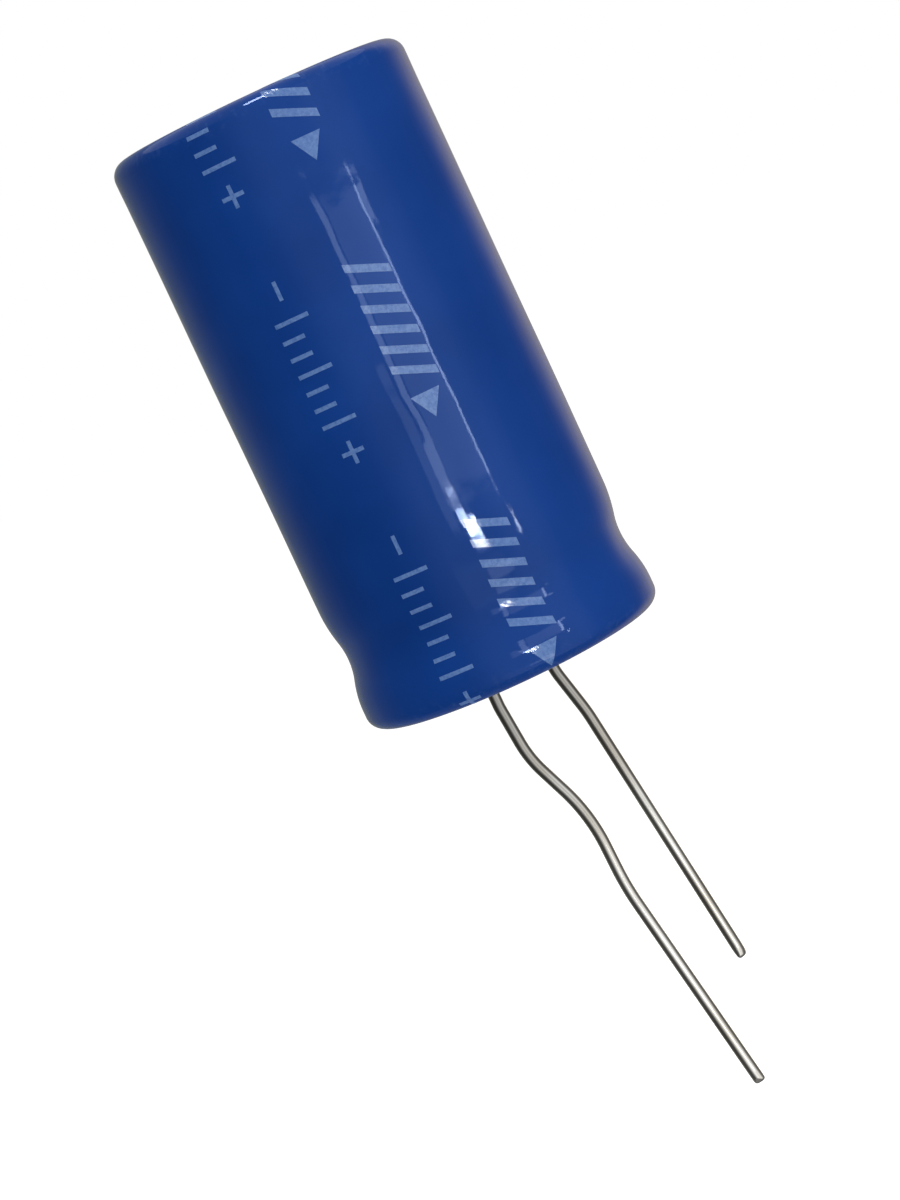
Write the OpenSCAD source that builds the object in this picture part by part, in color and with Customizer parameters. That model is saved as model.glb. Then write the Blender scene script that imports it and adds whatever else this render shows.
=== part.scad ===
// Radial aluminium electrolytic capacitor with a shrunk film sleeve and formed wire leads.
// The origin is the centre of the seating plane under the sleeved rim. +Z runs up the can to
// its closed end, the leads hang down, and +X runs from the cathode lead to the anode lead.

/* [Can] */
// Outside diameter of the bare drawn can
can_d = 12.5; // [11.5:0.1:13.5]
// Height of the bare can, from the curled rim to the closed end
can_h = 24.85; // [22:0.05:32]
// Thickness of the drawn side wall
can_wall = 0.3; // [0.2:0.02:0.36]
// Thickness of the closed end
end_wall = 0.4; // [0.3:0.02:0.6]
// Outer radius of the corner round the closed end
can_corner_r = 0.55; // [0.45:0.05:0.9]

/* [Bead and rim] */
// Depth of the bead that grips the rubber
bead_depth = 0.8; // [0.5:0.05:0.95]
// Height of the bead along the can
bead_h = 4.36; // [3.6:0.02:5]
// Radius at the bottom of the bead
bead_r = 0.9; // [0.6:0.05:1]
// Height of the straight wall between the bead and the curled rim
rim_land = 0.35; // [0.1:0.05:1]
// How far the crimped section below the bead swells past the barrel
rim_swell = 0.08; // [0:0.01:0.12]
// Outer radius of the curled rim
rim_r = 0.5; // [0.45:0.05:0.6]
// Width of the flat that the rim stands on
rim_flat = 0.3; // [0.2:0.05:0.4]
// Turn of the curled rim, from the side wall round into the rubber
rim_turn = 140; // [120:5:150]

/* [Vent] */
// Length of each scored line across the closed end
vent_l = 7; // [5:0.5:8]
// Depth of the scored lines
vent_depth = 0.15; // [0.05:0.01:0.2]

/* [Sleeve] */
// Thickness of the shrunk film
film = 0.12; // [0.08:0.01:0.2]
// Clearance between the film and the can
film_fit = 0.03; // [0.02:0.01:0.05]
// How deep the film dips where it bridges the bead
dip_depth = 0.25; // [0.15:0.01:0.35]
// Radius at the bottom of the dip
dip_r = 3.5; // [2:0.1:4]
// Width of the flat lap of film on the closed end
top_lap = 1; // [0.5:0.1:1.5]
// Turn of the film round the rim, from the side wall to its free edge
rim_lap_turn = 110; // [100:5:125]

/* [Rubber seal] */
// Height of the outer face of the rubber above the edge of the curled rim
seal_face_rise = 0.16; // [0.04:0.02:0.2]
// Clearance between the rubber and the can
seal_fit = 0.02; // [0.01:0.01:0.03]
// Height of the straight side of the rubber above the bead
seal_land = 0.3; // [0.1:0.1:1]
// Chamfer round the inner face
seal_chamfer = 0.3; // [0.2:0.1:0.8]
// Clearance round the stems, welds and wires where they pass through the rubber
bore_fit = 0.02; // [0.01:0.01:0.04]

/* [Leads] */
// Distance between the two leads at the seating plane
lead_pitch = 5; // [4.6:0.1:5.4]
// Diameter of the tinned wire
wire_d = 0.5; // [0.4:0.05:0.6]
// Chamfer round the cut end of a wire
wire_chamfer = 0.06; // [0.02:0.01:0.1]
// How much thinner the wire is where it is bent
bend_thinning = 0.01; // [0.005:0.005:0.02]
// Length by which a bend reaches into the straight wire at each end
bend_grip = 0.04; // [0.02:0.01:0.08]
// Direction toward which a positive bend turns, from +X about +Z
bend_azimuth = 123; // [0:1:359]

/* [Anode lead] */
// Straight wire below the seating plane, before the first bend
anode_drop = 0.9; // [0.7:0.1:3]
// Angle of the first bend
anode_turn_1 = 5; // [1:1:30]
// Radius of the first bend
anode_r_1 = 3; // [2:0.5:12]
// Straight wire between the first bend and the second
anode_run_1 = 1.5; // [0.5:0.1:4]
// Angle of the second bend
anode_turn_2 = 17; // [1:1:30]
// Radius of the second bend
anode_r_2 = 5; // [2:0.5:12]
// Straight wire between the second bend and the third
anode_run_2 = 1.2; // [0.5:0.1:4]
// Angle of the third bend
anode_turn_3 = -20.5; // [-30:0.5:-1]
// Radius of the third bend
anode_r_3 = 8; // [2:0.5:12]
// Straight wire between the third bend and the fourth
anode_run_3 = 1; // [0.5:0.1:4]
// Angle of the fourth bend
anode_turn_4 = 8; // [1:1:30]
// Radius of the fourth bend
anode_r_4 = 12; // [2:0.5:15]
// Straight wire after the last bend, up to the cut end
anode_end_l = 9; // [5:0.1:12]

/* [Cathode lead] */
// Straight wire below the seating plane, before the first bend
cathode_drop = 0.8; // [0.7:0.1:3]
// Angle of the first bend
cathode_turn_1 = 13; // [1:1:30]
// Radius of the first bend
cathode_r_1 = 3; // [2:0.5:12]
// Straight wire between the first bend and the second
cathode_run_1 = 1.5; // [0.5:0.1:4]
// Angle of the second bend
cathode_turn_2 = -5.5; // [-30:0.5:-1]
// Radius of the second bend
cathode_r_2 = 8; // [2:0.5:12]
// Straight wire after the last bend, up to the cut end
cathode_end_l = 11.9; // [5:0.1:15]

/* [Lead tabs] */
// Diameter of the round aluminium stem in the rubber
stem_d = 1.2; // [1:0.05:1.4]
// Length of the weld cone between the stem and the wire
weld_l = 0.6; // [0.4:0.05:0.8]
// Length of stem that stands out of the inner face of the rubber
stem_out = 0.1; // [0.05:0.05:1]
// Height of the pressed taper between the stem and the paddle
taper_l = 1.1; // [0.8:0.1:1.5]
// Thickness of the flat paddle
paddle_t = 0.2; // [0.15:0.01:0.25]
// Width of the flat paddle
paddle_w = 1.8; // [1.4:0.1:2]
// How far the paddle stops short of the far edge of the foil
paddle_short = 1.5; // [1:0.5:4]
// Number of press-weld marks along the paddle
press_marks = 5; // [3:1:6]
// Diameter of a press-weld mark
press_mark_d = 0.8; // [0.5:0.1:1]
// Depth of a press-weld mark
press_mark_depth = 0.05; // [0.02:0.01:0.08]

/* [Winding] */
// Radius of the hole left by the winding spindle
spindle_r = 0.9; // [0.7:0.05:1.2]
// Thickness of the etched anode foil
anode_t = 0.11; // [0.08:0.01:0.13]
// Thickness of the cathode foil
cathode_t = 0.06; // [0.04:0.01:0.08]
// Thickness of each paper separator
paper_t = 0.08; // [0.06:0.01:0.1]
// Thickness of the tape round the finished winding
tape_t = 0.06; // [0.04:0.01:0.08]
// Clearance between the tape and the can, at least
winding_gap = 0.15; // [0.1:0.05:0.3]
// How far the paper reaches past the foils at each end
paper_margin = 0.6; // [0.3:0.1:1]
// Gap between the paper and the inside of the closed end
head_gap = 0.4; // [0.2:0.05:1]
// Play for the flat paddle between the turns
paddle_play = 0.05; // [0.03:0.01:0.1]

/* [Hidden] */
$fn = 72;
cut = 0.1;
arc_steps = 8;

// Places along the can
can_r = can_d / 2;
rim_base_z = film_fit + film;
can_top_z = rim_base_z + can_h;
can_inner_top_z = can_top_z - end_wall;
rim_centre = [can_r + rim_swell - rim_r, rim_base_z + rim_r];
lip_centre = rim_centre - [rim_flat, 0];
rim_edge_z = lip_centre[1] - (rim_r - can_wall) * sin(rim_turn);
bead_z = rim_centre[1] + rim_land + bead_h / 2;
seal_face_z = rim_edge_z + seal_face_rise;
seal_top_z = bead_z + bead_h / 2 + seal_land + seal_chamfer;
seal_t = seal_top_z - seal_face_z;
lead_x = lead_pitch / 2;

// Each bend of a lead: its angle, its radius and the straight wire before it
anode_bends = [
    [anode_turn_1, anode_r_1, anode_drop],
    [anode_turn_2, anode_r_2, anode_run_1],
    [anode_turn_3, anode_r_3, anode_run_2],
    [anode_turn_4, anode_r_4, anode_run_3]
];
cathode_bends = [
    [cathode_turn_1, cathode_r_1, cathode_drop],
    [cathode_turn_2, cathode_r_2, cathode_run_1]
];

// Points of a profile arc in the plane of radius and height, by the angle from the radius axis
function arc_points(centre, r, from, to, steps = arc_steps) =
    [for (i = [0:steps])
        let (a = from + (to - from) * i / steps)
        centre + r * [cos(a), sin(a)]];

// A groove of a given depth, half height and bottom radius runs out into a shoulder of this radius
function shoulder_r(depth, half_h, groove_r) = (half_h * half_h + depth * depth) / (2 * depth) - groove_r;
function groove_turn(half_h, r_sum) = asin(half_h / r_sum);

// Side of the can from the closed end down to the rim, moved outward by the offset, with a
// groove of the given depth, half height and bottom radius round it
function side_points(offset, depth, half_h, groove_r) =
    let (
        low_r = can_r + rim_swell,
        top_shoulder = shoulder_r(depth, half_h, groove_r),
        low_shoulder = shoulder_r(depth + rim_swell, half_h, groove_r),
        top_turn = groove_turn(half_h, top_shoulder + groove_r),
        low_turn = groove_turn(half_h, low_shoulder + groove_r),
        groove = [can_r - depth + groove_r, bead_z]
    )
    concat(
        arc_points([can_r - top_shoulder, bead_z + half_h], top_shoulder + offset, 0, -top_turn),
        arc_points(groove, groove_r - offset, 180 - top_turn, 180 + low_turn, 2 * arc_steps),
        arc_points([low_r - low_shoulder, bead_z - half_h], low_shoulder + offset, low_turn, 0)
    );

// Corner at the closed end, moved outward by the offset
function corner_points(offset) =
    arc_points([can_r - can_corner_r, can_top_z - can_corner_r], can_corner_r + offset, 90, 0);

// Inside of the corner at the closed end
function inner_corner_points() =
    let (r = can_corner_r - can_wall)
    arc_points([can_r - can_corner_r, can_inner_top_z - r], r, 90, 0);

// Curl at the rim, moved outward by the offset: a corner, a flat and a lip that turns on inward
function rim_points(offset, turn) = concat(
    arc_points(rim_centre, rim_r + offset, 0, -90),
    arc_points(lip_centre, rim_r + offset, -90, -turn)
);

function reversed(points) = [for (i = [len(points) - 1:-1:0]) points[i]];

// Winding: half turns numbered outward from the spindle, the even ones on the +Y side. Their
// centres step from side to side, so that each strip lies on the one before it all the way.
// A tab pushes the turns outside it over by half its room, and the other tab brings them back.
stack_t = anode_t + cathode_t + 2 * paper_t;
step_r = stack_t / 2;
// The share of a step by which a half turn's centre lies to the side, and the half turns of tape
side_share = 0.5;
tape_halves = 2;
// A flat paddle in a round turn needs its own thickness, the rise of the turn over it and its play
paddle_rise = lead_x - sqrt(lead_x * lead_x - paddle_w * paddle_w / 4);
tab_room = paddle_t + paddle_rise + 2 * paddle_play;
turns_to_tab = round((lead_x - paddle_t / 2 - spindle_r - paper_t) / stack_t);
anode_half = 2 * turns_to_tab - 1;
cathode_half = anode_half + 1;
// The paper ends on the last odd half turn that leaves room for the tape and the step to the side
half_turns = (can_r - can_wall - winding_gap - tape_t - tab_room - spindle_r) / step_r;
paper_halves = half_turns - tape_halves - side_share;
last_half = 2 * floor((paper_halves - 1) / 2) + 1;
// The winding fills the room between the tapers of the tabs and the gap under the closed end
taper_z = seal_top_z + stem_out;
winding_base_z = taper_z + taper_l;
winding_top_z = can_inner_top_z - head_gap;
paper_h = winding_top_z - winding_base_z;
foil_base_z = winding_base_z + paper_margin;
foil_top_z = winding_top_z - paper_margin;
foil_w = foil_top_z - foil_base_z;

// Centre and radius of a half turn for a strip whose turns step over the tabs at these half turns
function side_shift(k, over_anode, over_cathode) =
    (k >= over_anode ? tab_room / 2 : 0) - (k >= over_cathode ? tab_room / 2 : 0);
function turn_centre(k, over_anode, over_cathode) =
    (k % 2 - side_share) * step_r + side_shift(k, over_anode, over_cathode);
function turn_radius(k, over_anode, over_cathode) =
    k == 0 ? spindle_r
    : turn_radius(k - 1, over_anode, over_cathode)
        + abs(turn_centre(k, over_anode, over_cathode) - turn_centre(k - 1, over_anode, over_cathode));

// Where the two tabs lie: outside the inner separator on +X, outside the outer separator on -X
anode_seat_x = turn_centre(anode_half, anode_half + 2, cathode_half)
    + turn_radius(anode_half, anode_half + 2, cathode_half) + paper_t;
cathode_seat_x = turn_centre(cathode_half, anode_half, cathode_half + 2)
    - turn_radius(cathode_half, anode_half, cathode_half + 2) - 2 * paper_t - anode_t;

// A strip wound from one half turn to another
module wound_strip(inset, thickness, height, over_anode, over_cathode, first, last) {
    for (k = [first:last])
        translate([turn_centre(k, over_anode, over_cathode), 0, 0])
            rotate([0, 0, 180 * (k % 2)])
                rotate_extrude(angle = 180)
                    translate([turn_radius(k, over_anode, over_cathode) + inset, 0])
                        square([thickness, height]);
}

// Aluminium foil with the oxide layer, shorter at both ends of the winding than the paper
module anode_foil() {
    color("dimgray")
        translate([0, 0, foil_base_z])
            wound_strip(paper_t, anode_t, foil_w, anode_half, cathode_half + 2, 1, last_half - 2);
}

// Plain aluminium foil, the outermost foil of the winding
module cathode_foil() {
    color("silver")
        translate([0, 0, foil_base_z])
            wound_strip(2 * paper_t + anode_t, cathode_t, foil_w, anode_half, cathode_half, 1, last_half - 1);
}

// Paper on the inside of the anode foil
module inner_separator() {
    color("wheat")
        translate([0, 0, winding_base_z])
            wound_strip(0, paper_t, paper_h, anode_half + 2, cathode_half + 2, 0, last_half);
}

// Paper between the anode foil and the cathode foil
module outer_separator() {
    color("tan")
        translate([0, 0, winding_base_z])
            wound_strip(paper_t + anode_t, paper_t, paper_h, anode_half, cathode_half + 2, 0, last_half);
}

// One turn of tape that holds the end of the winding
module winding_tape() {
    color("khaki")
        translate([0, 0, winding_base_z])
            wound_strip(0, tape_t, paper_h, anode_half + 2, cathode_half + 2, last_half + 1, last_half + tape_halves);
}

// Lead tab: weld cone, round stem, pressed taper and flat paddle. The paddle's inner face is at
// seat_x, measured outward from the axis along the side that the tab is on.
module lead_tab(seat_x) {
    stem_z = seal_face_z + weld_l;
    paddle_top = foil_top_z - paddle_short;
    mark_pitch = (paddle_top - foil_base_z) / press_marks;
    translate([lead_x, 0, seal_face_z])
        cylinder(h = weld_l, d1 = wire_d, d2 = stem_d);
    translate([lead_x, 0, stem_z])
        cylinder(h = taper_z - stem_z, d = stem_d);
    intersection() {
        translate([lead_x, 0, taper_z])
            cylinder(h = taper_l + cut, d1 = stem_d, d2 = paddle_w + stem_d);
        translate([0, paddle_w / 2, 0])
            rotate([90, 0, 0])
                linear_extrude(height = paddle_w)
                    polygon([
                        [lead_x - stem_d / 2, taper_z],
                        [lead_x + stem_d / 2, taper_z],
                        [seat_x + paddle_t, winding_base_z],
                        [seat_x + paddle_t, winding_base_z + cut],
                        [seat_x, winding_base_z + cut],
                        [seat_x, winding_base_z]
                    ]);
    }
    difference() {
        translate([seat_x, -paddle_w / 2, winding_base_z])
            cube([paddle_t, paddle_w, paddle_top - winding_base_z]);
        for (i = [0:press_marks - 1])
            translate([seat_x - cut, 0, foil_base_z + (i + 0.5) * mark_pitch])
                rotate([0, 90, 0])
                    cylinder(h = cut + press_mark_depth, d = press_mark_d);
    }
}

module anode_tab() {
    color("gainsboro")
        lead_tab(anode_seat_x + paddle_play);
}

module cathode_tab() {
    color("gainsboro")
        mirror([1, 0, 0])
            lead_tab(-cathode_seat_x + paddle_play);
}

// Wire that hangs from the origin along -Z, leaning toward +X by each bend in turn
module bent_wire(bends, end_l, first = 0) {
    if (first == len(bends)) {
        translate([0, 0, wire_chamfer - end_l])
            cylinder(h = end_l - wire_chamfer, d = wire_d);
        translate([0, 0, -end_l])
            cylinder(h = wire_chamfer, d1 = wire_d - 2 * wire_chamfer, d2 = wire_d);
    } else {
        turn = bends[first][0];
        r = bends[first][1];
        straight = bends[first][2];
        side = sign(turn);
        grip_turn = bend_grip / r * 180 / PI;
        translate([0, 0, -straight])
            cylinder(h = straight, d = wire_d);
        translate([side * r, 0, -straight])
            rotate([90, 0, 0])
                rotate([0, 0, (side > 0 ? 180 : turn) - grip_turn])
                    rotate_extrude(angle = abs(turn) + 2 * grip_turn)
                        translate([r, 0])
                            circle(d = wire_d - bend_thinning);
        translate([side * r, 0, -straight])
            rotate([0, -turn, 0])
                translate([-side * r, 0, 0])
                    bent_wire(bends, end_l, first + 1);
    }
}

// Lead from its weld at the face of the rubber down to its cut end, at x
module lead(x, bends, end_l) {
    translate([x, 0, 0])
        rotate([0, 0, bend_azimuth]) {
            cylinder(h = seal_face_z, d = wire_d);
            bent_wire(bends, end_l);
        }
}

module anode_lead() {
    color("lightgray")
        lead(lead_x, anode_bends, anode_end_l);
}

module cathode_lead() {
    color("lightgray")
        lead(-lead_x, cathode_bends, cathode_end_l);
}

// Rubber plug pressed to the inside of the bead and the curl, with a bore for each tab
module end_seal() {
    inward = -(can_wall + seal_fit);
    seal_turn = 180 - asin((lip_centre[1] - seal_face_z) / (rim_r + inward));
    color([0.16, 0.16, 0.17])
        difference() {
            rotate_extrude()
                polygon(concat(
                    [
                        [0, seal_top_z],
                        [can_r + inward - seal_chamfer, seal_top_z],
                        [can_r + inward, seal_top_z - seal_chamfer]
                    ],
                    side_points(inward, bead_depth, bead_h / 2, bead_r),
                    rim_points(inward, seal_turn),
                    [[0, seal_face_z]]
                ));
            for (x = [-lead_x, lead_x])
                translate([x, 0, 0]) {
                    translate([0, 0, seal_face_z - cut])
                        cylinder(h = cut, d = wire_d + 2 * bore_fit);
                    translate([0, 0, seal_face_z])
                        cylinder(h = weld_l, d1 = wire_d + 2 * bore_fit, d2 = stem_d + 2 * bore_fit);
                    translate([0, 0, seal_face_z + weld_l])
                        cylinder(h = seal_t - weld_l + cut, d = stem_d + 2 * bore_fit);
                }
        }
}

// Drawn cup with a bead, a rim curled into the rubber and two scored lines across the closed end
module can() {
    color([0.78, 0.79, 0.8])
        difference() {
            rotate_extrude()
                polygon(concat(
                    [[0, can_top_z]],
                    corner_points(0),
                    side_points(0, bead_depth, bead_h / 2, bead_r),
                    rim_points(0, rim_turn),
                    reversed(rim_points(-can_wall, rim_turn)),
                    reversed(side_points(-can_wall, bead_depth, bead_h / 2, bead_r)),
                    reversed(inner_corner_points()),
                    [[0, can_inner_top_z]]
                ));
            for (a = [45, 135])
                translate([0, 0, can_top_z])
                    rotate([0, 0, a])
                        rotate([90, 0, 90])
                            translate([0, 0, -vent_l / 2])
                                linear_extrude(height = vent_l)
                                    polygon([[-vent_depth, 0], [0, -vent_depth], [vent_depth, 0]]);
        }
}

// Film shrunk onto the can, lapped over both ends, that dips where it bridges the bead
module sleeve() {
    outer = film_fit + film;
    lap_r = can_r - can_corner_r - top_lap;
    color([0.09, 0.2, 0.5])
        rotate_extrude()
            polygon(concat(
                [[lap_r, can_top_z + outer]],
                corner_points(outer),
                side_points(outer, dip_depth, bead_h / 2, dip_r),
                rim_points(outer, rim_lap_turn),
                reversed(rim_points(film_fit, rim_lap_turn)),
                reversed(side_points(film_fit, dip_depth, bead_h / 2, dip_r)),
                reversed(corner_points(film_fit)),
                [[lap_r, can_top_z + film_fit]]
            ));
}

sleeve();
can();
end_seal();
anode_lead();
cathode_lead();
anode_tab();
cathode_tab();
anode_foil();
cathode_foil();
inner_separator();
outer_separator();
winding_tape();
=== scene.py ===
"""Looks of a radial aluminium electrolytic capacitor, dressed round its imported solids."""

import math

import bmesh
import bpy
import numpy as np
from mathutils import Matrix, Vector


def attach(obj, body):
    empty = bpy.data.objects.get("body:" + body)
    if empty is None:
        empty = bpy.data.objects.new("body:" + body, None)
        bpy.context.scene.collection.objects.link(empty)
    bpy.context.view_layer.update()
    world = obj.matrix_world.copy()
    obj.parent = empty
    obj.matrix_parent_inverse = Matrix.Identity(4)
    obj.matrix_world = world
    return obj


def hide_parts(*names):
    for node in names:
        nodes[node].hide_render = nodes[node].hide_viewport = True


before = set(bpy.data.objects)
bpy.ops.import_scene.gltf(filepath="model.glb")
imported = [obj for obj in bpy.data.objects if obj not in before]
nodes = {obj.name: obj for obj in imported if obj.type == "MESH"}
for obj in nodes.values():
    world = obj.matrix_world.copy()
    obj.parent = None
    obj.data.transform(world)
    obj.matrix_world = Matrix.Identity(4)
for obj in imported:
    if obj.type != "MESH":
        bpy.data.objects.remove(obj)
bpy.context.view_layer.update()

MM = 0.001

# Sizes of the solids, in millimetres and degrees
CAN_R = 6.25
CAN_TOP_Z = 25.0
CORNER_R = 0.55
# Below the bead the can is a little wider, and its rim is curled in under the rubber
RIM_SWELL = 0.08
RIM_R = 0.5
RIM_FLAT = 0.3
RIM_BASE_Z = 0.15
BEAD_Z = 3.18
BEAD_HALF_H = 2.18
FILM_IN = 0.03
# The solid's film reaches out to 0.15; the visible film leaves the last of that to the ink on it
FILM_OUT = 0.143
DIP_DEPTH = 0.25
DIP_R = 3.5
# The film's lap on the closed end, and the angle round the curl at which its lap on the rim ends
TOP_LAP = 1.0
RIM_LAP_TURN = 110
SEAL_FACE_Z = 0.6814
WIRE_R = 0.25
LEAD_X = 2.5
# Each bend of a lead: angle, radius, straight wire before it; then the straight end
ANODE_BENDS, ANODE_END = [(5, 3, 0.9), (17, 5, 1.5), (-20.5, 8, 1.2), (8, 12, 1)], 9
CATHODE_BENDS, CATHODE_END = [(13, 3, 0.8), (-5.5, 8, 1.5)], 11.9
# The direction in which both leads bend, and the direction of the can's front line, square to it
BEND_AZIMUTH = math.radians(123)
FRONT = BEND_AZIMUTH - math.pi / 2

# How finely the visible forms are cut
ARC_STEPS = 14
LAP_STEPS = 6
SIDE_ROWS = 96
SEGMENTS = 224
WIRE_SIDES = 28
# Points no farther apart than this are one point, in millimetres
MERGE = 0.001


# ---- small tools ----

def linear(code):
    """An sRGB hex colour as linear red, green, blue and alpha."""
    values = [int(code[i:i + 2], 16) / 255 for i in (1, 3, 5)]
    return [v / 12.92 if v <= 0.04045 else ((v + 0.055) / 1.055) ** 2.4 for v in values] + [1.0]


def set_inputs(tree, node, inputs):
    """Sets a node's inputs to values, or links them to sockets or to other nodes' first outputs."""
    for key, value in inputs.items():
        if isinstance(value, bpy.types.Node):
            value = value.outputs[0]
        if isinstance(value, bpy.types.NodeSocket):
            tree.links.new(value, node.inputs[key])
        else:
            node.inputs[key].default_value = value


def add(tree, kind, inputs=None, **settings):
    """A node of a tree with its settings and its inputs."""
    node = tree.nodes.new(kind)
    for name, value in settings.items():
        setattr(node, name, value)
    set_inputs(tree, node, inputs or {})
    return node


def mesh_object(name, verts, edges=(), faces=()):
    """An object from points in millimetres, placed by its mesh."""
    mesh = bpy.data.meshes.new(name)
    mesh.from_pydata([[c * MM for c in v] for v in verts], list(edges), list(faces))
    obj = bpy.data.objects.new(name, mesh)
    bpy.context.scene.collection.objects.link(obj)
    return obj


def points_of(obj):
    """An object's points in millimetres, one to a row."""
    co = np.empty(len(obj.data.vertices) * 3)
    obj.data.vertices.foreach_get("co", co)
    return co.reshape(-1, 3) / MM


def move_points(obj, co):
    """Moves an object's points to places in millimetres."""
    obj.data.vertices.foreach_set("co", (co * MM).ravel())
    obj.data.update()


def outward(obj):
    """Turns the faces of a closed mesh outward and shades it smooth."""
    work = bmesh.new()
    work.from_mesh(obj.data)
    bmesh.ops.remove_doubles(work, verts=work.verts, dist=MERGE * MM)
    bmesh.ops.recalc_face_normals(work, faces=work.faces)
    work.to_mesh(obj.data)
    work.free()
    obj.data.shade_smooth()


# ---- geometry trees ----

def new_tree(name, sockets):
    """An empty geometry tree with named inputs; returns the tree and its group input."""
    tree = bpy.data.node_groups.new(name, "GeometryNodeTree")
    tree.interface.new_socket("Geometry", in_out="OUTPUT", socket_type="NodeSocketGeometry")
    for label, kind in {"Geometry": "Geometry", **sockets}.items():
        tree.interface.new_socket(label, in_out="INPUT", socket_type="NodeSocket" + kind)
    return tree, add(tree, "NodeGroupInput")


def close_tree(tree, geometry, material):
    """Ends a tree in real geometry with its material."""
    real = add(tree, "GeometryNodeRealizeInstances", {"Geometry": geometry})
    dressed = add(tree, "GeometryNodeSetMaterial", {"Geometry": real, "Material": material})
    add(tree, "NodeGroupOutput", {"Geometry": dressed})


def run_tree(obj, tree, values):
    """Makes an object's mesh the plain one that a geometry tree gives, with the tree's inputs by name."""
    modifier = obj.modifiers.new("shape", "NODES")
    modifier.node_group = tree
    for item in tree.interface.items_tree:
        if item.item_type == "SOCKET" and item.in_out == "INPUT" and item.name in values:
            modifier[item.identifier] = values[item.name]
    bpy.context.view_layer.update()
    graph = bpy.context.evaluated_depsgraph_get()
    made = bpy.data.meshes.new_from_object(obj.evaluated_get(graph))
    obj.modifiers.remove(modifier)
    old, obj.data = obj.data, made
    bpy.data.meshes.remove(old)
    made.name = obj.name


def turned_tree():
    """Turns the points of a profile, in their order, round the Z axis."""
    tree, start = new_tree("Turned from a profile", {"Segments": "Int", "Material": "Material"})
    profile = start.outputs["Geometry"]
    count = add(tree, "GeometryNodeAttributeDomainSize", {"Geometry": profile}).outputs["Point Count"]
    columns = add(tree, "ShaderNodeMath", {0: start.outputs["Segments"], 1: 1.0}, operation="ADD")
    # A flat sheet of size one, centred, with a row for each point of the profile
    grid = add(tree, "GeometryNodeMeshGrid", {
        "Size X": 1.0, "Size Y": 1.0, "Vertices X": columns, "Vertices Y": count})
    place = add(tree, "GeometryNodeInputPosition")
    parts = add(tree, "ShaderNodeSeparateXYZ", {0: place})
    share = add(tree, "ShaderNodeMath", {0: parts.outputs["Y"], 1: 0.5}, operation="ADD")
    last = add(tree, "ShaderNodeMath", {0: count, 1: 1.0}, operation="SUBTRACT")
    row = add(tree, "ShaderNodeMath", {0: share, 1: last}, operation="MULTIPLY")
    whole = add(tree, "ShaderNodeMath", {0: row}, operation="ROUND")
    point = add(tree, "GeometryNodeSampleIndex", {"Geometry": profile, "Value": place, "Index": whole},
                data_type="FLOAT_VECTOR")
    turn = add(tree, "ShaderNodeMath", {0: parts.outputs["X"], 1: 2 * math.pi}, operation="MULTIPLY")
    turned = add(tree, "ShaderNodeVectorRotate", {"Vector": point, "Angle": turn}, rotation_type="Z_AXIS")
    shaped = add(tree, "GeometryNodeSetPosition", {"Geometry": grid, "Position": turned})
    close_tree(tree, shaped, start.outputs["Material"])
    return tree


def wire_tree():
    """Draws a round wire along a path, narrowed at the path's points by their width."""
    tree, start = new_tree("Wire along a path", {"Radius": "Float", "Sides": "Int", "Material": "Material"})
    path = add(tree, "GeometryNodeMeshToCurve", {0: start.outputs["Geometry"]})
    ring = add(tree, "GeometryNodeCurvePrimitiveCircle", {
        "Resolution": start.outputs["Sides"], "Radius": start.outputs["Radius"]})
    width = add(tree, "GeometryNodeInputNamedAttribute", {"Name": "width"}, data_type="FLOAT")
    wire = add(tree, "GeometryNodeCurveToMesh", {
        "Curve": path, "Profile Curve": ring, "Scale": width, "Fill Caps": True})
    close_tree(tree, wire, start.outputs["Material"])
    return tree


def repeat_tree():
    """Repeats one group of marks along a row, joins what meets, trims the row and thickens it."""
    tree, start = new_tree("Marks in a row", {
        "Count": "Int", "Start": "Vector", "Pitch": "Vector", "Low end": "Float", "High end": "Float",
        "Thickness": "Float", "Material": "Material"})
    line = add(tree, "GeometryNodeMeshLine", {
        "Count": start.outputs["Count"], "Start Location": start.outputs["Start"],
        "Offset": start.outputs["Pitch"]})
    copies = add(tree, "GeometryNodeInstanceOnPoints", {
        "Points": line, "Instance": start.outputs["Geometry"]})
    real = add(tree, "GeometryNodeRealizeInstances", {"Geometry": copies})
    joined = add(tree, "GeometryNodeMergeByDistance", {"Geometry": real, "Distance": MERGE * MM})
    place = add(tree, "GeometryNodeInputPosition")
    along = add(tree, "ShaderNodeSeparateXYZ", {0: place}).outputs["X"]
    short = add(tree, "ShaderNodeMath", {0: along, 1: start.outputs["Low end"]}, operation="LESS_THAN")
    long = add(tree, "ShaderNodeMath", {0: along, 1: start.outputs["High end"]}, operation="GREATER_THAN")
    past = add(tree, "ShaderNodeMath", {0: short, 1: long}, operation="MAXIMUM")
    kept = add(tree, "GeometryNodeDeleteGeometry", {"Geometry": joined, "Selection": past}, domain="FACE")
    under = add(tree, "GeometryNodeFlipFaces", {"Mesh": kept})
    raised = add(tree, "GeometryNodeExtrudeMesh", {
        "Mesh": kept, "Offset Scale": start.outputs["Thickness"], "Individual": False}, mode="FACES")
    both = add(tree, "GeometryNodeJoinGeometry", {"Geometry": raised})
    tree.links.new(under.outputs[0], both.inputs["Geometry"])
    closed = add(tree, "GeometryNodeMergeByDistance", {"Geometry": both, "Distance": MERGE * MM})
    close_tree(tree, closed, start.outputs["Material"])
    return tree


# ---- materials ----

# Where the film's rub begins and where it is full, in millimetres past the can's two ends
RUB_START, RUB_FULL = -0.9, 0.1
# Heights between which the wires' colour darkens towards the rubber, a painted shade under the can
SHADE_START_Z, SHADE_FULL_Z = -9, -1


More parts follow.
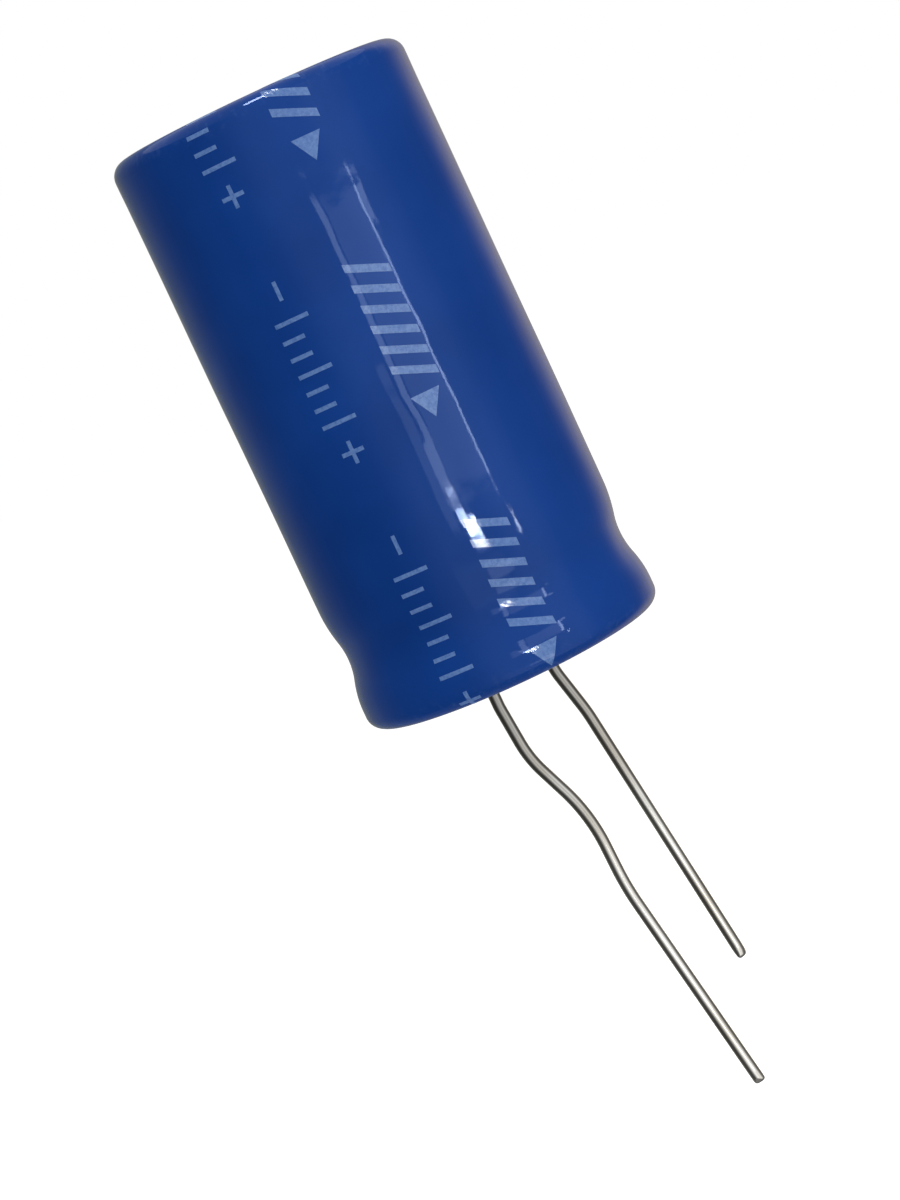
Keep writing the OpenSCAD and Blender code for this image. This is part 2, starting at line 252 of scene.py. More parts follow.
def finish(name, **values):
    """A material with its main shader's own sockets set."""
    material = bpy.data.materials.new(name)
    material.use_nodes = True
    tree = material.node_tree
    shader = tree.nodes["Principled BSDF"]
    for key, value in values.items():
        shader.inputs[key.replace("_", " ")].default_value = value
    return material, tree, shader


def surface_place(tree):
    """Where a point of the surface lies, in metres."""
    return add(tree, "ShaderNodeTexCoord").outputs["Object"]


def surface_height(tree):
    """How high a point of the surface lies, in metres."""
    return add(tree, "ShaderNodeSeparateXYZ", {0: surface_place(tree)}).outputs["Z"]


def grain(tree, size, stretch=(1, 1, 1), detail=3.0, roughness=0.5):
    """Noise with features of a size in millimetres, drawn out along an axis by its stretch."""
    scaled = add(tree, "ShaderNodeMapping", {
        "Vector": surface_place(tree), "Scale": [1 / s for s in stretch]})
    return add(tree, "ShaderNodeTexNoise", {
        "Vector": scaled, "Scale": 1 / (size * MM), "Detail": detail, "Roughness": roughness})


def spread(tree, value, low, high, to_low, to_high):
    """A value's range mapped to another range."""
    return add(tree, "ShaderNodeMapRange", {
        "Value": value, "From Min": low, "From Max": high, "To Min": to_low, "To Max": to_high})


def blend_colours(tree, factor, *colours):
    """A colour between two, each a hex code or a socket."""
    first, second = [linear(c) if isinstance(c, str) else c for c in colours]
    return add(tree, "ShaderNodeMix", {0: factor, 6: first, 7: second}, data_type="RGBA").outputs[2]


def relief(tree, *layers):
    """Relief for a shader's normal, from layers of height and depth in millimetres."""
    normal = None
    for height, depth in layers:
        inputs = {"Strength": 1.0, "Distance": depth * MM, "Height": height}
        if normal is not None:
            inputs["Normal"] = normal
        normal = add(tree, "ShaderNodeBump", inputs)
    return normal


def edge_rub(tree):
    """How much the film is rubbed: only towards its two ends, and there in small patches."""
    middle = CAN_TOP_Z / 2
    above = add(tree, "ShaderNodeMath", {0: surface_height(tree), 1: middle * MM}, operation="SUBTRACT")
    away = add(tree, "ShaderNodeMath", {0: above}, operation="ABSOLUTE")
    ends = spread(tree, away, (middle + RUB_START) * MM, (middle + RUB_FULL) * MM, 0, 1)
    patches = spread(tree, grain(tree, 0.4, detail=6.0, roughness=0.65), 0.52, 0.7, 0, 1)
    return add(tree, "ShaderNodeMath", {0: ends, 1: patches}, operation="MULTIPLY")


def shrunk_film():
    """Heat-shrunk PVC film: deep glossy blue, faintly uneven from the shrinking, rubbed at its ends."""
    material, tree, shader = finish(
        "shrunk_pvc_film", IOR=1.53, Specular_IOR_Level=0.22, Specular_Tint=linear("#B4CBF2"))
    rub = edge_rub(tree)
    cloud = spread(tree, grain(tree, 5.0, detail=2.0), 0.35, 0.65, 0, 1)
    clean = blend_colours(tree, cloud, "#0E377F", "#123D89")
    gloss = spread(tree, grain(tree, 1.4), 0.3, 0.7, 0.035, 0.06)
    dull = spread(tree, rub, 0, 1, 0, 0.14)
    set_inputs(tree, shader, {
        "Base Color": blend_colours(tree, spread(tree, rub, 0, 1, 0, 0.2), clean, "#5C78AE"),
        "Roughness": add(tree, "ShaderNodeMath", {0: gloss, 1: dull}, operation="ADD"),
        "Normal": relief(tree, (grain(tree, 2.4, detail=1.0), 0.03), (grain(tree, 0.5), 0.0016))})
    return material


def pale_ink():
    """Pale ink printed on the film, thin enough for the blue to show through where it is worn."""
    material, tree, shader = finish("pale_ink", IOR=1.5, Specular_IOR_Level=0.22)
    # The real ink's thin spots are hundredths of a millimetre across; they are drawn coarser, to show
    wear = spread(tree, grain(tree, 0.16, detail=5.0, roughness=0.7), 0.3, 0.6, 0, 1)
    set_inputs(tree, shader, {
        "Base Color": blend_colours(tree, wear, "#4467A6", "#6282B9"),
        "Roughness": spread(tree, wear, 0, 1, 0.16, 0.08)})
    return material


def tinned_wire():
    """Tinned wire: bright, streaked along its length, darkened near the rubber by a painted shade under the
    can, and grey where it was cut.
    """
    material, tree, shader = finish("tinned_wire", Metallic=1.0)
    haze = spread(tree, grain(tree, 1.1, (1, 1, 3)), 0.35, 0.68, 0, 1)
    tin = blend_colours(tree, haze, "#C8C7C2", "#B1ACA2")
    # Painted shade: towards the rubber, under the can, the tin's colour darkens to #86847F
    dull = spread(tree, surface_height(tree), SHADE_START_Z * MM, SHADE_FULL_Z * MM, 0, 0.85)
    # The wire's stored width falls below one only at its cut end
    width = add(tree, "ShaderNodeAttribute", attribute_name="width")
    cut = spread(tree, width.outputs["Fac"], 0.98, 0.75, 0, 0.9)
    # The real streaks are about a hundredth of a millimetre wide; they are drawn coarser, to show
    streaks = grain(tree, 0.08, (1, 1, 25), detail=1.0)
    set_inputs(tree, shader, {
        "Base Color": blend_colours(tree, cut, blend_colours(tree, dull, tin, "#86847F"), "#6E6A64"),
        "Roughness": spread(tree, haze, 0, 1, 0.1, 0.18),
        "Normal": relief(tree, (streaks, 0.0003), (grain(tree, 1.2, detail=1.0), 0.008))})
    return material


def drawn_aluminium(name="drawn_aluminium", light="#D6D8DB", dark="#B9BCC0", streak=(14, 14, 1)):
    """Drawn aluminium: satin, with fine lines left by the die or the rolls."""
    material, tree, shader = finish(name, Metallic=1.0)
    tone = spread(tree, grain(tree, 0.7), 0.3, 0.7, 0, 1)
    # The real lines are a few thousandths of a millimetre wide; they are drawn coarser, to show
    lines = grain(tree, 0.04, streak)
    set_inputs(tree, shader, {
        "Base Color": blend_colours(tree, tone, light, dark),
        "Roughness": spread(tree, tone, 0, 1, 0.3, 0.42),
        "Normal": relief(tree, (lines, 0.002), (grain(tree, 0.9), 0.006))})
    return material


def grained(name, size, colours, roughness, depth, stretch=(1, 1, 1), detail=3.0, **values):
    """A material whose colour, roughness and relief all follow one grain."""
    material, tree, shader = finish(name, **values)
    pattern = grain(tree, size, stretch, detail)
    set_inputs(tree, shader, {
        "Base Color": blend_colours(tree, pattern, *colours),
        "Roughness": spread(tree, pattern, 0, 1, *roughness),
        "Normal": relief(tree, (pattern, depth))})
    return material


def moulded_rubber():
    """Moulded butyl rubber: matt and nearly black, with a fine grey bloom."""
    material, tree, shader = finish("moulded_rubber", IOR=1.52)
    bloom = spread(tree, grain(tree, 0.4, detail=5.0), 0.35, 0.7, 0, 1)
    set_inputs(tree, shader, {
        "Base Color": blend_colours(tree, bloom, "#1B1B1D", "#2B2B2E"),
        "Roughness": spread(tree, bloom, 0, 1, 0.6, 0.8),
        "Normal": relief(tree, (grain(tree, 0.12), 0.008))})
    return material


def etched_foil():
    """Etched and oxidised aluminium foil: matt grey, because the etch pits trap the light."""
    # The real pits are about a thousandth of a millimetre across; they are drawn coarser, to show
    return grained("etched_foil", 0.05, ("#5E6064", "#7E8084"), (0.6, 0.8), 0.004, detail=6.0, Metallic=0.8)


def kraft_paper():
    """Kraft separator paper soaked in electrolyte: tan, fibrous, slightly damp."""
    # The real fibres are about 0.03 mm wide; they are drawn twice as wide, to show
    return grained("kraft_paper", 0.06, ("#A88A5C", "#CDB285"), (0.45, 0.7), 0.01, (6, 6, 1), 5.0, IOR=1.45)


def winding_tape():
    """Polyester tape: thin smooth amber film over its glue."""
    return grained("polyester_tape", 0.8, ("#B0862E", "#C9A24A"), (0.2, 0.35), 0.004, IOR=1.6)


# ---- the film ----

def arc(centre, radius, first, last, steps=ARC_STEPS):
    """Points of an arc in radius and height, by angle in degrees from the radius axis."""
    turns = [math.radians(first + (last - first) * i / steps) for i in range(steps + 1)]
    return [(centre[0] + radius * math.cos(a), centre[1] + radius * math.sin(a)) for a in turns]


def film_profile(offset):
    """The film's line from its edge on the closed end to its edge under the rim."""
    low_r = CAN_R + RIM_SWELL
    # The arcs that lead into the dip from the barrel and from the wider part below it
    shoulder = [(BEAD_HALF_H ** 2 + d ** 2) / (2 * d) - DIP_R for d in (DIP_DEPTH, DIP_DEPTH + RIM_SWELL)]
    turn = [math.degrees(math.asin(BEAD_HALF_H / (s + DIP_R))) for s in shoulder]
    dip = (CAN_R - DIP_DEPTH + DIP_R, BEAD_Z)
    rim = (low_r - RIM_R, RIM_BASE_Z + RIM_R)
    corner_r = CAN_R - CORNER_R
    lap_r = corner_r - TOP_LAP
    points = [(lap_r + (corner_r - lap_r) * i / LAP_STEPS, CAN_TOP_Z + offset) for i in range(LAP_STEPS)]
    points += arc((corner_r, CAN_TOP_Z - CORNER_R), CORNER_R + offset, 90, 0)
    top, bead_top = CAN_TOP_Z - CORNER_R, BEAD_Z + BEAD_HALF_H
    points += [(CAN_R + offset, top + (bead_top - top) * i / SIDE_ROWS) for i in range(1, SIDE_ROWS)]
    points += arc((CAN_R - shoulder[0], bead_top), shoulder[0] + offset, 0, -turn[0])
    points += arc(dip, DIP_R - offset, 180 - turn[0], 180 + turn[1], 3 * ARC_STEPS)[1:]
    points += arc((low_r - shoulder[1], BEAD_Z - BEAD_HALF_H), shoulder[1] + offset, turn[1], 0)[1:]
    points += arc(rim, RIM_R + offset, 0, -90)
    points += arc((rim[0] - RIM_FLAT, rim[1]), RIM_R + offset, -90, -RIM_LAP_TURN, LAP_STEPS)
    return points


# The film's unevenness in millimetres: how deep its slow ripples and its puckers over the bead are,
# how far the puckers reach, and the heights between which it lies uneven, with the fade at each
RIPPLE_DEPTH, PUCKER_DEPTH, PUCKER_REACH = 0.004, 0.009, 1.5
UNEVEN_LOW, UNEVEN_HIGH, UNEVEN_FADE = 0.9, 24.2, 0.8


def film_sink(turn, height):
    """How far the shrunk film lies inside its plain form, in millimetres, by angle and height."""
    share = (np.clip((height - UNEVEN_LOW) / UNEVEN_FADE, 0, 1)
             * np.clip((UNEVEN_HIGH - height) / UNEVEN_FADE, 0, 1))
    ripples = 2 + np.sin(3 * turn + 0.45 * height) + np.sin(5 * turn - 0.7 * height + 1.3)
    bridge = np.exp(-((height - BEAD_Z) / PUCKER_REACH) ** 2)
    puckers = 2 + np.sin(7 * turn + 0.8 * height) + np.sin(12 * turn - 1.1 * height + 0.6)
    return share * (RIPPLE_DEPTH * ripples + PUCKER_DEPTH * bridge * puckers)


def sink(obj):
    """Moves a mesh that lies on the film inward by the film's unevenness."""
    co = points_of(obj)
    turn = np.arctan2(co[:, 1], co[:, 0])
    radius = np.hypot(co[:, 0], co[:, 1]) - film_sink(turn, co[:, 2])
    co[:, 0], co[:, 1] = radius * np.cos(turn), radius * np.sin(turn)
    move_points(obj, co)


def make_film(material):
    """The shrunk film as a closed wall, turned from its profile."""
    outer = film_profile(FILM_OUT)
    inner = film_profile(FILM_IN)[::-2]
    points = [(r, 0, z) for r, z in outer + inner + outer[:1]]
    obj = mesh_object("film_sleeve", points, [(i, i + 1) for i in range(len(points) - 1)])
    run_tree(obj, turned_tree(), {"Segments": SEGMENTS, "Material": material})
    outward(obj)
    sink(obj)
    return obj


# ---- print on the film ----

# The film's outer line, the length along it, and that length at the middle of the can's height,
# from which the print is laid out
OUTER_LINE = np.array(film_profile(FILM_OUT))
LINE_LENGTH = np.concatenate([[0], np.cumsum(np.hypot(*np.diff(OUTER_LINE, axis=0).T))])
MID_LENGTH = float(np.interp(-CAN_TOP_Z / 2, -OUTER_LINE[:, 1], LINE_LENGTH))
BARREL_R = CAN_R + FILM_OUT
# Size of the small cells that let a printed mark follow the film, in millimetres
CELL = 0.14
# How far the ink stands on the film, and how far it stays from the film's two edges
INK = 0.006
PRINT_EDGE = 0.3
# How many groups of marks follow each other down the can, their pitch, the height of the middle
# one, and how far to the right of the front each row lies, in radians
GROUPS, GROUP_PITCH, GROUP_Z = 3, 10.85, 14.2
BOLD_TURN, THIN_TURN = 0.19, -0.37
# The polarity stripe's width, its distance from the film's two edges, and its bare dashes
STRIPE_WIDTH, STRIPE_EDGE = 3.4, 0.4
DASHES, DASH_LENGTH, DASH_WIDTH = 5, 2.6, 0.7


def cell_lines(*marks):
    """Lines between marks in rising order, no farther apart than a cell."""
    lines = [marks[0]]
    for low, high in zip(marks, marks[1:]):
        count = max(1, math.ceil((high - low) / CELL))
        lines += [low + (high - low) * i / count for i in range(1, count + 1)]
    return lines


def sheet(xs, ys, gap=(0, 0)):
    """A printed sheet of cells between lines down and round the can, with a bare gap in its middle."""
    step = len(xs)
    faces = [(j * step + i, j * step + i + 1, (j + 1) * step + i + 1, (j + 1) * step + i)
             for j in range(len(ys) - 1) for i in range(step - 1)
             if abs(xs[i] + xs[i + 1]) >= gap[0] or abs(ys[j] + ys[j + 1]) >= gap[1]]
    used = sorted({k for face in faces for k in face})
    order = {k: i for i, k in enumerate(used)}
    return [(xs[k % step], ys[k // step], 0) for k in used], [tuple(order[k] for k in face) for face in faces]


def bar(x, y, length, width, slant=0):
    """A printed bar: its middle, its length down the can, its width round it, and its slant."""
    verts, faces = sheet(cell_lines(-length / 2, length / 2), cell_lines(-width / 2, width / 2))
    return [(x + u + slant * v / width, y + v, 0) for u, v, _ in verts], faces


def arrowhead(x, length, width):
    """A printed solid triangle that points down the can, from its base."""
    verts, faces = sheet(cell_lines(0, length), cell_lines(-width / 2, width / 2))
    return [(x + u, v * (1 - u / length), 0) for u, v, _ in verts], faces


def group_of(*marks):
    """Printed marks as one list of points and one of faces."""
    verts, faces = [], []
    for more, cells in marks:
        faces += [tuple(i + len(verts) for i in cell) for cell in cells]
        verts += more
    return verts, faces


def bold_marks():
    """A plain direction mark: slanted strokes and an arrowhead towards the leads."""
    first, step, length, width, slant = -3.0, 0.86, 0.34, 1.74, 0.7
    strokes = [bar(first + step * i, 0, length, width, slant) for i in range(6)]
    return group_of(*strokes, arrowhead(2.25, 1.05, 1.25))


def thin_marks():
    """A plain scale of thin strokes, every third one long, between a minus and a plus."""
    first, step, line, long, short = -2.4, 0.72, 0.17, 1.5, 1.0
    strokes = [bar(first + step * i, (short - long) / 2 if i % 3 else 0, line, short if i % 3 else long)
               for i in range(7)]
    # The plus is one line down the can and a short one to each side of it
    minus_x, plus_x, side, arm = -3.65, 3.2, 0.28, 0.4
    plus = [bar(plus_x, 0, 0.95, line), bar(plus_x, side, line, arm), bar(plus_x, -side, line, arm)]
    return group_of(bar(minus_x, 0, 0.8, line), *strokes, *plus)


def stripe_cell(length):
    """One length of the polarity stripe, with a bare dash in its middle."""
    return sheet(cell_lines(-length / 2, -DASH_LENGTH / 2, DASH_LENGTH / 2, length / 2),
                 cell_lines(-STRIPE_WIDTH / 2, -DASH_WIDTH / 2, DASH_WIDTH / 2, STRIPE_WIDTH / 2),
                 (DASH_LENGTH, DASH_WIDTH))


def wrap(obj, turn):
    """Lays a flat printed row on the film: x is the length down the can, y the way round it, z outward."""
    co = points_of(obj)
    over = co[:, 2] - INK
    step = 0.01
    length = np.clip(co[:, 0] + MID_LENGTH, 2 * step, LINE_LENGTH[-1] - 2 * step)
    radius, height = [np.interp(length, LINE_LENGTH, axis) for axis in OUTER_LINE.T]
    # How far the line runs outward and upward over two steps
    out, rise = [np.interp(length + step, LINE_LENGTH, axis) - np.interp(length - step, LINE_LENGTH, axis)
                 for axis in OUTER_LINE.T]
    slope = np.hypot(out, rise)
    radius, height = radius - over * rise / slope, height + over * out / slope
    angle = turn + co[:, 1] / BARREL_R
    move_points(obj, np.stack([radius * np.cos(angle), radius * np.sin(angle), height], axis=1))


def printed_row(name, group, count, first, pitch, turn, material):
    """One group of marks repeated down the can and laid on the film."""
    obj = mesh_object(name, group[0], (), group[1])
    run_tree(obj, repeat_tree(), {
        "Count": count, "Start": (first * MM, 0, 0), "Pitch": (pitch * MM, 0, 0),
        "Low end": (PRINT_EDGE - MID_LENGTH) * MM,
        "High end": (LINE_LENGTH[-1] - PRINT_EDGE - MID_LENGTH) * MM,
        "Thickness": 2 * INK * MM, "Material": material})
    wrap(obj, turn)
    sink(obj)
    return obj


# ---- leads ----

# The wire's width at distances from its cut end, as a share of the full width
TIP_WIDTHS = ((0.6, 1.0), (0.3, 1.0), (0.14, 1.0), (0.08, 0.97), (0.03, 0.86), (0.0, 0.68))
# How far up the wire the cutter's pinch reaches, and how much of the width it takes
PINCH_REACH, PINCH_DEPTH = 0.45, 0.42


def lead_path(x, bends, end):
    """Points of a lead from the rubber to its cut end, and the wire's width at each."""
    side, z, lean = 0.0, 0.0, 0.0
    # Straight down from the rubber's face, then the bends from the seat on
    flat = [(0.0, SEAL_FACE_Z), (0.0, 0.3)]
    for turn, radius, straight in bends:
        flat.append((side, z))
        side, z = side + math.sin(lean) * straight, z - math.cos(lean) * straight
        flat.append((side, z))
        whole = math.radians(turn)
        sign = math.copysign(1, turn)
        steps = max(6, math.ceil(abs(turn)))
        for i in range(1, steps + 1):
            part = whole * i / steps
            flat.append((side + radius * sign * (math.cos(lean) - math.cos(lean + part)),
                         z - radius * sign * (math.sin(lean + part) - math.sin(lean))))
        side, z = flat[-1]
        lean += whole
    widths = [1.0] * len(flat)
    for left, width in TIP_WIDTHS:
        run = end - left
        flat.append((side + math.sin(lean) * run, z - math.cos(lean) * run))
        widths.append(width)
    points = [(x + u * math.cos(BEND_AZIMUTH), u * math.sin(BEND_AZIMUTH), h) for u, h in flat]
    kept = [i for i in range(len(points)) if i == 0 or math.dist(points[i], points[i - 1]) > MERGE]
    return [points[i] for i in kept], [widths[i] for i in kept]


def make_lead(name, x, bends, end, pinch, material):
    """A tinned lead along its path, its cut end pinched by the cutter at an angle in radians."""
    points, widths = lead_path(x, bends, end)
    obj = mesh_object(name, points, [(i, i + 1) for i in range(len(points) - 1)])
    width = obj.data.attributes.new("width", "FLOAT", "POINT")
    width.data.foreach_set("value", widths)
    run_tree(obj, wire_tree(), {"Radius": WIRE_R * MM, "Sides": WIRE_SIDES, "Material": material})
    tip = Vector(points[-1]) * MM
    along = (Vector(points[-1]) - Vector(points[-2])).normalized()
    across = Vector((math.cos(pinch), math.sin(pinch), 0))
    across = (across - along * across.dot(along)).normalized()
    for vertex in obj.data.vertices:
        away = vertex.co - tip
        back = -away.dot(along)
        if back < PINCH_REACH * MM:
            squeeze = PINCH_DEPTH * (1 - max(0.0, back) / (PINCH_REACH * MM)) ** 1.5
            vertex.co -= across * away.dot(across) * squeeze
    outward(obj)
    return obj


# ---- the pieces ----

ink = pale_ink()
tin = tinned_wire()

sleeve = make_film(shrunk_film())
anode = make_lead("anode_wire", LEAD_X, ANODE_BENDS, ANODE_END, pinch=0.4, material=tin)
cathode = make_lead("cathode_wire", -LEAD_X, CATHODE_BENDS, CATHODE_END, pinch=1.3, material=tin)

first_group = CAN_TOP_Z / 2 - GROUP_Z - GROUP_PITCH
row_marks = [
    printed_row(name, group, GROUPS, first_group, GROUP_PITCH, FRONT + turn, ink)
    for name, group, turn in (
        ("bold_marks", bold_marks(), BOLD_TURN), ("thin_marks", thin_marks(), THIN_TURN))]
dash_pitch = (LINE_LENGTH[-1] - 2 * STRIPE_EDGE) / DASHES
stripe = printed_row("polarity_stripe", stripe_cell(dash_pitch), DASHES,
                     STRIPE_EDGE + dash_pitch / 2 - MID_LENGTH, dash_pitch, math.pi, ink)

dress = {
    "can": drawn_aluminium(),
    "end_seal": moulded_rubber(),
    "anode_tab": drawn_aluminium("tab_aluminium", "#CFD1D4", "#B4B7BB", (1, 1, 10)),
    "anode_foil": etched_foil(),
    "cathode_foil": drawn_aluminium("plain_foil", "#C9CCD0", "#B5B8BC", (1, 1, 8)),
    "inner_separator": kraft_paper(),
    "winding_tape": winding_tape(),
}
dress["cathode_tab"] = dress["anode_tab"]
dress["outer_separator"] = dress["inner_separator"]
for node, material in dress.items():
    nodes[node].data.materials.clear()
    nodes[node].data.materials.append(material)

on_barrel, wires = [sleeve, stripe, *row_marks], [anode, cathode]
for slot, pieces in (("sleeve_film", on_barrel), ("tinned_wire", wires)):
    for piece in pieces:
        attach(piece, "root")
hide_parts("sleeve")
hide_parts("anode_lead")
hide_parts("cathode_lead")

# What the lamps light whose highlights lie on the barrel; on the wires they would leave specks
barrel = bpy.data.collections.new("barrel")
for piece in on_barrel:
    barrel.objects.link(piece)

# ---- camera ----

# The picture's long side is 1200 pixels; the lens follows from the outline's perspective
SENSOR = 36
LENS = 3401 / 1200 * SENSOR
TILT, ROLL = 0.1024, 0.4382
# The middle of the sleeved can, and the camera's place from it in millimetres
MIDDLE = Vector((0, 0, 12.575))
DISTANCE, ASIDE, BELOW = 137.7, -2.60, -8.69

right_flat = Vector((math.cos(BEND_AZIMUTH), math.sin(BEND_AZIMUTH), 0))
near = Vector((math.sin(BEND_AZIMUTH), -math.cos(BEND_AZIMUTH), 0))
up = Vector((0, 0, 1))
back = math.cos(TILT) * near + math.sin(TILT) * up
down_flat = math.sin(TILT) * near - math.cos(TILT) * up
right = math.cos(ROLL) * right_flat + math.sin(ROLL) * down_flat
down = -math.sin(ROLL) * right_flat + math.cos(ROLL) * down_flat
camera_data = bpy.data.cameras.new("camera")
camera_data.lens, camera_data.sensor_width = LENS, SENSOR
camera_data.clip_start, camera_data.clip_end = 0.01, 20
camera = bpy.data.objects.new("camera", camera_data)
bpy.context.scene.collection.objects.link(camera)
camera_place = MIDDLE - right * ASIDE - down * BELOW + back * DISTANCE
camera_turn = Matrix([right, -down, back]).transposed().to_4x4()
camera.matrix_world = Matrix.Translation(camera_place * MM) @ camera_turn
bpy.context.scene.camera = camera
bpy.context.scene.view_settings.view_transform = "Standard"

# ---- stage ----

FLOOR_Z = -120
FLOOR_HALF = 4000
# How much white the floor gives off, and how much of the world's white is soft light
FLOOR_LIFT = 0.66
SOFT_LIGHT = 0.45
# Cards round the object, seen only in reflections, that give its rounds their dark edges
CARD_R = 110
CARD_TOP = 110
CARD_STEPS = 72
# How far above the floor they end; the card on the floor lies half as high
CARD_GAP = 0.2
# Their brightness by angle from the front, in degrees
LEFT_TONES = [
    (12, 1.0), (21, 0.72), (36, 0.25), (54, 0.08), (94, 0.08), (106, 0.14), (118, 0.22), (130, 0.28),
    (180, 0.29)]
RIGHT_TONES = [
    (24, 1.0), (36, 1.6), (52, 1.3), (68, 0.5), (84, 0.25), (108, 0.14), (118, 0.22), (128, 0.5),
    (136, 0.7), (147, 0.7), (158, 0.52), (168, 0.36), (180, 0.29)]
# Towards the back each takes a faint tint, by share at these angles
TINT_TURNS, TINT_SHARES = (104, 130, 158, 180), (0, 1, 1, 0)
LEFT_TINT, RIGHT_TINT = "#F8FFE2", "#FFF0DA"
# The brightness of the card on the floor
GROUND_TONE = 0.3
# Distance and size of the two soft lamps, and distance of the small ones
SOFTBOX_DISTANCE, SOFTBOX_SIZE = 600, 450
GLINT_DISTANCE = 98


def white_share(tree, strength):
    """A strength for the rays that see the background straight, in gloss and through glass."""
    rays = add(tree, "ShaderNodeLightPath").outputs
    seen = add(tree, "ShaderNodeMath", {0: rays["Is Camera Ray"], 1: rays["Is Glossy Ray"]},
               operation="MAXIMUM")
    seen = add(tree, "ShaderNodeMath", {0: seen, 1: rays["Is Transmission Ray"]}, operation="MAXIMUM")
    return add(tree, "ShaderNodeMath", {0: seen, 1: strength}, operation="MULTIPLY")


def plain_floor():
    """Matt white paper, lifted to plain white where no shadow falls on it."""
    material, tree, shader = finish(
        "white_paper", Roughness=0.9, Specular_IOR_Level=0.0, Base_Color=linear("#F7F7F7"),
        Emission_Color=linear("#FFFFFF"))
    set_inputs(tree, shader, {"Emission Strength": white_share(tree, FLOOR_LIFT)})
    return material


def toned_card():
    """A studio card that shades from pale to dark, by the tone stored on it."""
    material, tree, shader = finish(
        "toned_card", Roughness=1.0, Specular_IOR_Level=0.0, Base_Color=linear("#000000"),
        Emission_Strength=1.0)
    tone = add(tree, "ShaderNodeAttribute", attribute_name="tone")
    set_inputs(tree, shader, {"Emission Color": tone.outputs["Color"]})
    return material


def seen_only_in_gloss(obj):
    """Keeps a thing out of the camera's view and out of the soft light."""
    obj.visible_camera = obj.visible_diffuse = obj.visible_transmission = False


def place_card(name, spots, faces, colours, material):
    """A card in the studio, with the colour it shows at each of its points."""
    obj = mesh_object(name, spots, (), faces)
    tone = obj.data.attributes.new("tone", "FLOAT_COLOR", "POINT")
    tone.data.foreach_set("color", np.ravel(colours))
    obj.data.materials.append(material)
    seen_only_in_gloss(obj)
    obj.visible_shadow = False


def side_card(name, side, tones, tint, material):
    """A card bent round one side of the object, toned by the angle from the front."""
    turns = np.linspace(tones[0][0], tones[-1][0], CARD_STEPS + 1)
    share = np.interp(turns, TINT_TURNS, TINT_SHARES)[:, None]
    colours = np.interp(turns, *zip(*tones))[:, None] * (1 - share * (1 - np.array(linear(tint))))
    spots = [(CARD_R * math.cos(a), CARD_R * math.sin(a), z)
             for a in FRONT + side * np.radians(turns) for z in (FLOOR_Z + CARD_GAP, CARD_TOP)]
    faces = [(2 * i, 2 * i + 1, 2 * i + 3, 2 * i + 2) for i in range(CARD_STEPS)]
    place_card(name, spots, faces, np.repeat(colours, 2, axis=0), material)


def facing(turn, lift=0):
    """A direction, by its angle right of the front and its angle above the floor, in degrees."""
    a, e = FRONT + math.radians(turn), math.radians(lift)
    return Vector((math.cos(a) * math.cos(e), math.sin(a) * math.cos(e), math.sin(e)))


def area_lamp(name, centre, aim, width, height, power):
    """An area lamp in millimetres that faces a point; power in watts."""
    light = bpy.data.lights.new(name, "AREA")
    light.shape, light.size, light.size_y, light.energy = "RECTANGLE", width * MM, height * MM, power
    obj = bpy.data.objects.new(name, light)
    bpy.context.scene.collection.objects.link(obj)
    obj.location = centre * MM
    obj.rotation_mode = "QUATERNION"
    obj.rotation_quaternion = (centre - aim).to_track_quat("Z", "Y")
    return obj


def softbox(name, turn, lift, power):
    """A large soft lamp that no reflection shows, by its angle from the front and above the floor."""
    middle = Vector((0, 0, CAN_TOP_Z / 2))
    place = middle + SOFTBOX_DISTANCE * facing(turn, lift)
    obj = area_lamp(name, place, middle, SOFTBOX_SIZE, SOFTBOX_SIZE, power)
    obj.visible_camera = obj.visible_glossy = False


def mirrored(turn, height, lift, radius):
    """Where a round surface mirrors the camera to, by angle right of the front and height."""
    normal = facing(turn, lift)
    spot = radius * facing(turn) + Vector((0, 0, height))
    view = (camera_place - spot).normalized()
    return spot + (2 * normal.dot(view) * normal - view) * GLINT_DISTANCE, spot


def glint(name, turns, heights, radiance, lifts=(0, 0), radius=BARREL_R, lit=barrel):
    """A small lamp seen only in reflections, over the given angles and heights of a round surface."""
    turn, height, lift = sum(turns) / 2, sum(heights) / 2, sum(lifts) / 2
    place, aim = mirrored(turn, height, lift, radius)
    sides = [mirrored(t, height, lift, radius)[0] for t in turns]
    ends = [mirrored(turn, h, up_by, radius)[0] for h, up_by in zip(heights, lifts)]
    wide, tall = (sides[1] - sides[0]).length, (ends[1] - ends[0]).length
    obj = area_lamp(name, place, aim, wide, tall, radiance * math.pi * wide * tall * MM * MM)
    seen_only_in_gloss(obj)
    obj.light_linking.receiver_collection = lit


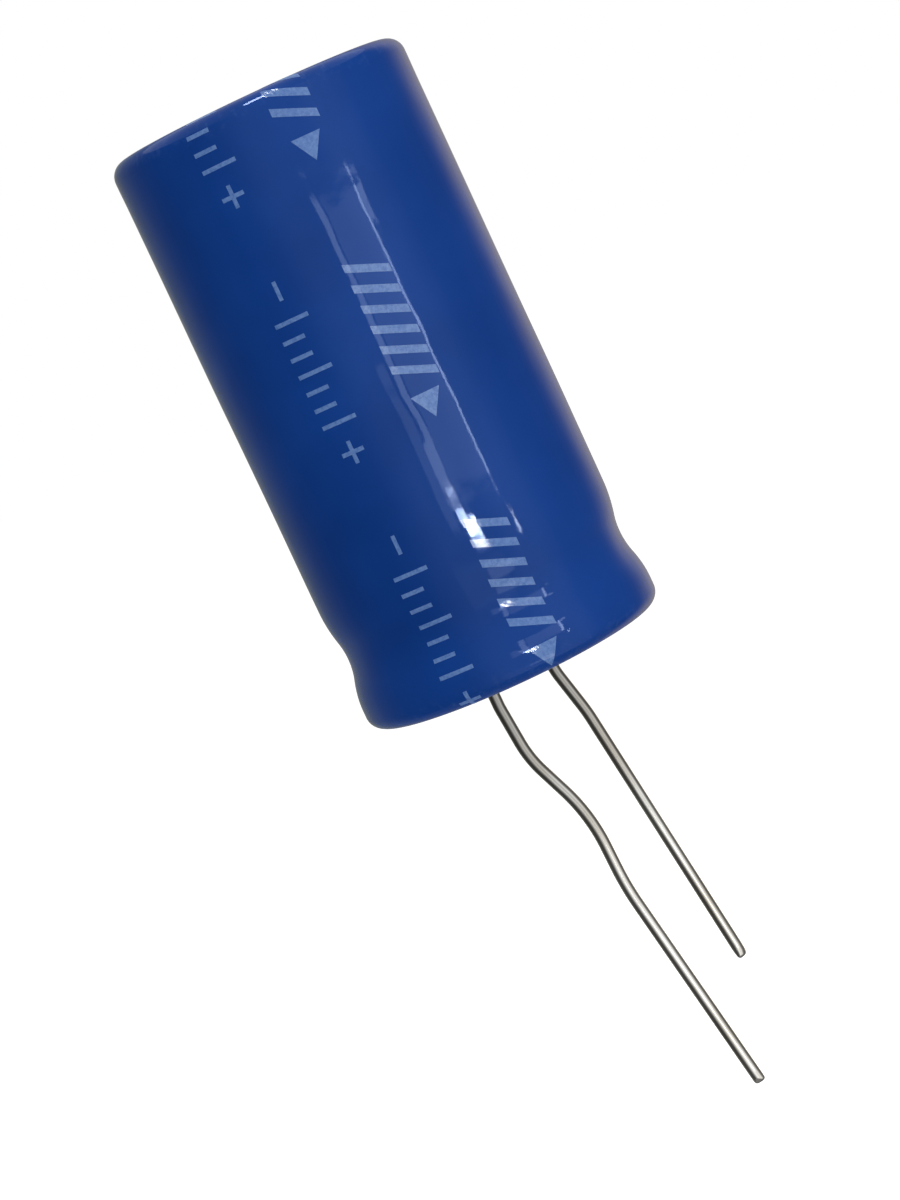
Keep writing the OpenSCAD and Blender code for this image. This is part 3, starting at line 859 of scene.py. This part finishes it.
corners = [(x * FLOOR_HALF, y * FLOOR_HALF, FLOOR_Z) for x, y in ((-1, -1), (1, -1), (1, 1), (-1, 1))]
floor = mesh_object("floor", corners, (), [(0, 1, 2, 3)])
floor.data.materials.append(plain_floor())

card = toned_card()
side_card("left_card", -1, LEFT_TONES, LEFT_TINT, card)
side_card("right_card", 1, RIGHT_TONES, RIGHT_TINT, card)
ring = [(CARD_R * math.cos(a), CARD_R * math.sin(a), FLOOR_Z + CARD_GAP / 2)
        for a in np.linspace(0, 2 * math.pi, CARD_STEPS, endpoint=False)]
place_card("ground_card", ring, [range(CARD_STEPS)], np.full((CARD_STEPS, 4), GROUND_TONE), card)

world = bpy.data.worlds.new("studio")
bpy.context.scene.world = world
world.use_nodes = True
sky = world.node_tree
sky.nodes.clear()
strength = add(sky, "ShaderNodeMath", {0: white_share(sky, 1.0 - SOFT_LIGHT), 1: SOFT_LIGHT}, operation="ADD")
air = add(sky, "ShaderNodeBackground", {"Color": linear("#FFFFFF"), "Strength": strength})
add(sky, "ShaderNodeOutputWorld", {"Surface": air})

# Each with its angle right of the front, its angle above the floor, and its power
softbox("key", 32, 45, 2.3)
softbox("back_fill", 190, 35, 1.3)
# Each with the angles and heights of the barrel that mirror it, and its brightness
glint("lamp", (4.2, 8.2), (5.3, 6.6), 180)
glint("lamp_top", (3.2, 5.8), (6.6, 7.6), 60)
glint("window_left_edge", (3.4, 5.4), (11, 21), 6)
glint("window_left_foot", (2.2, 5.8), (7.7, 11), 7)
glint("window_glow", (-0.8, 2.2), (6.0, 13), 2.0)
glint("window_right_edge", (19.0, 19.8), (8, 21), 18)
glint("window_corner", (19.9, 22.0), (18.8, 20.8), 7)
glint("window_pane", (5.8, 19.0), (8, 21), 2.1)
glint("side_lamp", (20.4, 21.4), (5.0, 5.25), 110)
# This one is mirrored by the rounded corner of the closed end, at these angles above the floor
glint("ceiling_lamp", (-4.5, 7.5), (24.9, 24.9), 45, (29, 35))
# This one is mirrored by the wires, taken as the can's middle line
glint("wire_lamp", (4, 14), (-19, -9), 2.6, radius=0, lit=None)
